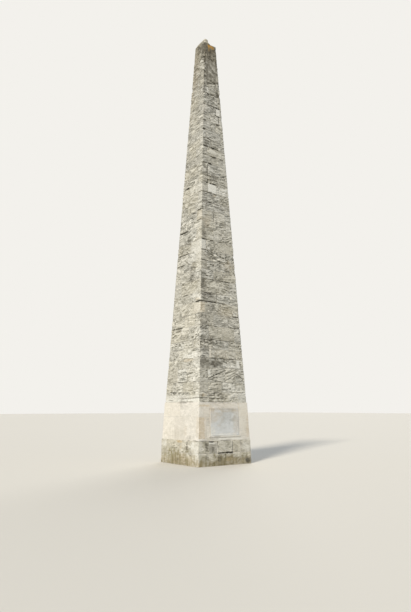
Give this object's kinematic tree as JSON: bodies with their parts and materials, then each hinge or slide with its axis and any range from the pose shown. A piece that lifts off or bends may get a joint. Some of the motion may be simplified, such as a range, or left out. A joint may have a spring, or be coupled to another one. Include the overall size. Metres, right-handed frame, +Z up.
{
  "type": "obelisk",
  "caption": "Tall square stone obelisk, tapering in courses from a low plinth to a blunt pyramid top, with a bare tablet let into one face near the foot.",
  "frame": {"origin": "middle of the underside, on the ground", "axes": "+Z up the axis of the shaft; -Y out of the face that carries the tablet; +X to the right of someone facing that tablet"},
  "size_m": [1.964, 1.964, 14.433],
  "materials": {
    "plinth_stone": "rough, green algae low down",
    "base_stone": "dressed, pale",
    "shaft_stone": "weathered, pitted and sooty",
    "tablet_stone": "rubbed smooth",
    "cap_stone": "weathered, with lichen"
  },
  "bodies": {
    "root": {"plinth_course_1": "plinth_stone", "plinth_course_2": "plinth_stone", "base_course_1": "base_stone", "base_course_2": "base_stone", "tablet_sill": "base_stone", "tablet": "tablet_stone", "shaft_course_01": "shaft_stone", "shaft_course_02": "shaft_stone", "shaft_course_03": "shaft_stone", "shaft_course_04": "shaft_stone", "shaft_course_05": "shaft_stone", "shaft_course_06": "shaft_stone", "shaft_course_07": "shaft_stone", "shaft_course_08": "shaft_stone", "shaft_course_09": "shaft_stone", "shaft_course_10": "shaft_stone", "shaft_course_11": "shaft_stone", "shaft_course_12": "shaft_stone", "shaft_course_13": "shaft_stone", "shaft_course_14": "shaft_stone", "shaft_course_15": "shaft_stone", "shaft_course_16": "shaft_stone", "shaft_course_17": "shaft_stone", "shaft_course_18": "shaft_stone", "shaft_course_19": "shaft_stone", "shaft_course_20": "shaft_stone", "shaft_course_21": "shaft_stone", "shaft_course_22": "shaft_stone", "shaft_course_23": "shaft_stone", "shaft_course_24": "shaft_stone", "shaft_course_25": "shaft_stone", "shaft_course_26": "shaft_stone", "shaft_course_27": "shaft_stone", "shaft_course_28": "shaft_stone", "shaft_course_29": "shaft_stone", "shaft_course_30": "shaft_stone", "shaft_course_31": "shaft_stone", "shaft_course_32": "shaft_stone", "shaft_course_33": "shaft_stone", "shaft_course_34": "shaft_stone", "shaft_course_35": "shaft_stone", "capstone": "cap_stone"}
  },
  "joints": []
}
